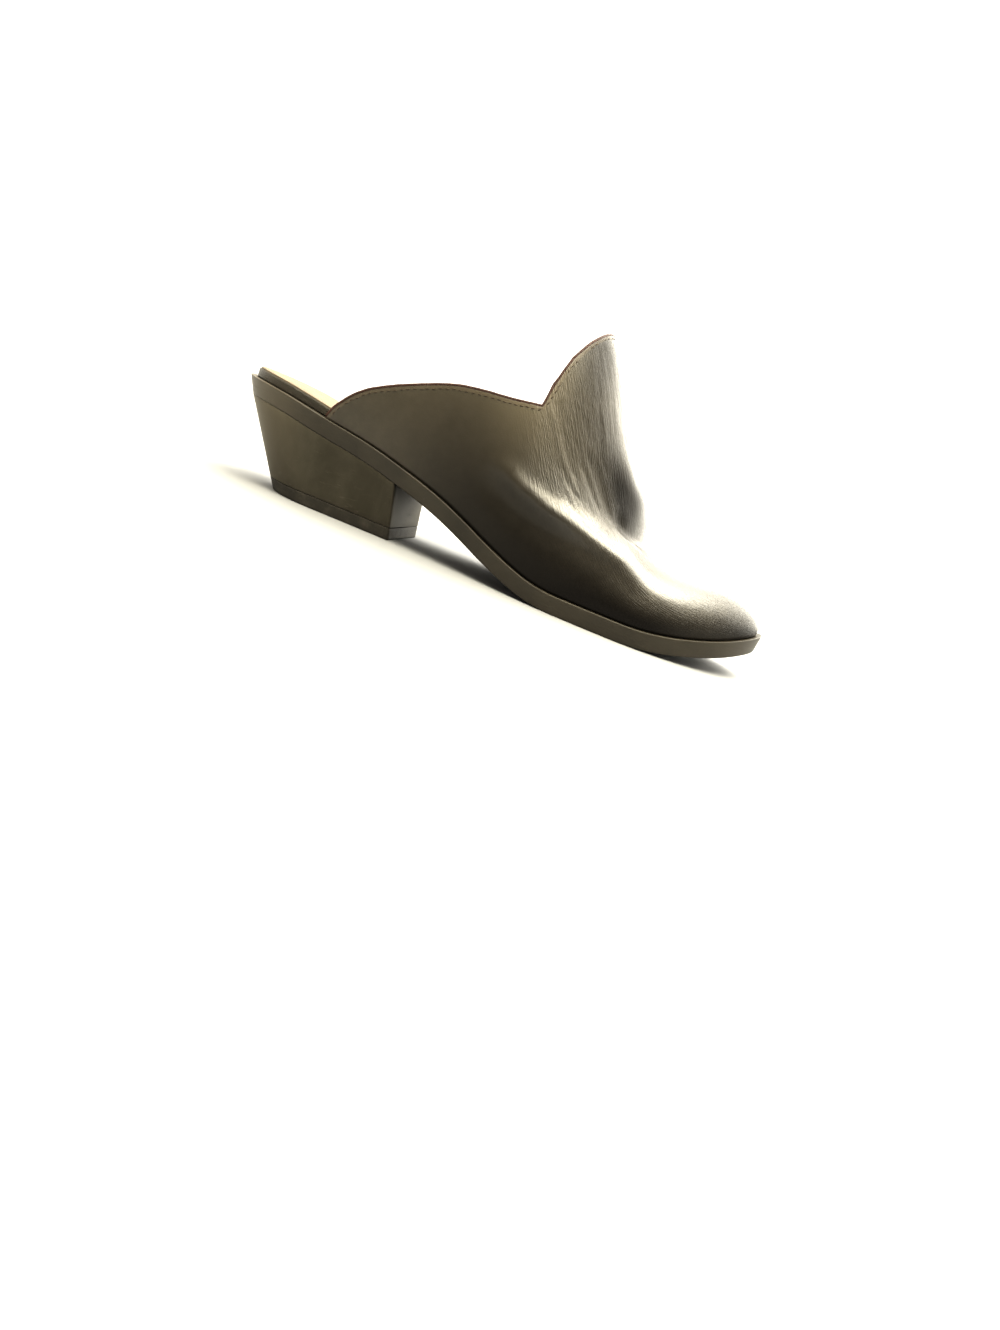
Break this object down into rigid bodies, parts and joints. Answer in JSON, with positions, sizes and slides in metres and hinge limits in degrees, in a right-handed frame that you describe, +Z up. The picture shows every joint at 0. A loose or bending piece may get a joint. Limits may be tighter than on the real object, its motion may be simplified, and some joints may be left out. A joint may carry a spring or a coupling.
{
  "type": "heeled mule shoe",
  "caption": "Backless leather mule with a peaked tongue, low wings, bare heel seat, full-length outsole and slanted block heel.",
  "frame": {"origin": "middle of the shoe's length and width, on the floor it stands on", "axes": "+X from heel to toe, +Z up from the floor, +Y to the inner (big toe) side of this right shoe"},
  "size_m": [0.264, 0.0872, 0.1199],
  "materials": {
    "upper": "smooth dark olive-brown leather, satin",
    "insole": "pale sock leather, matte",
    "outsole": "dark olive-brown edge paint, satin",
    "heel": "dark olive-brown, satin, lightly scuffed",
    "top_piece": "hard dark rubber, matte"
  },
  "bodies": {
    "root": {"upper": "upper", "insole": "insole", "outsole": "outsole", "heel": "heel", "top_piece": "top_piece"}
  },
  "joints": []
}
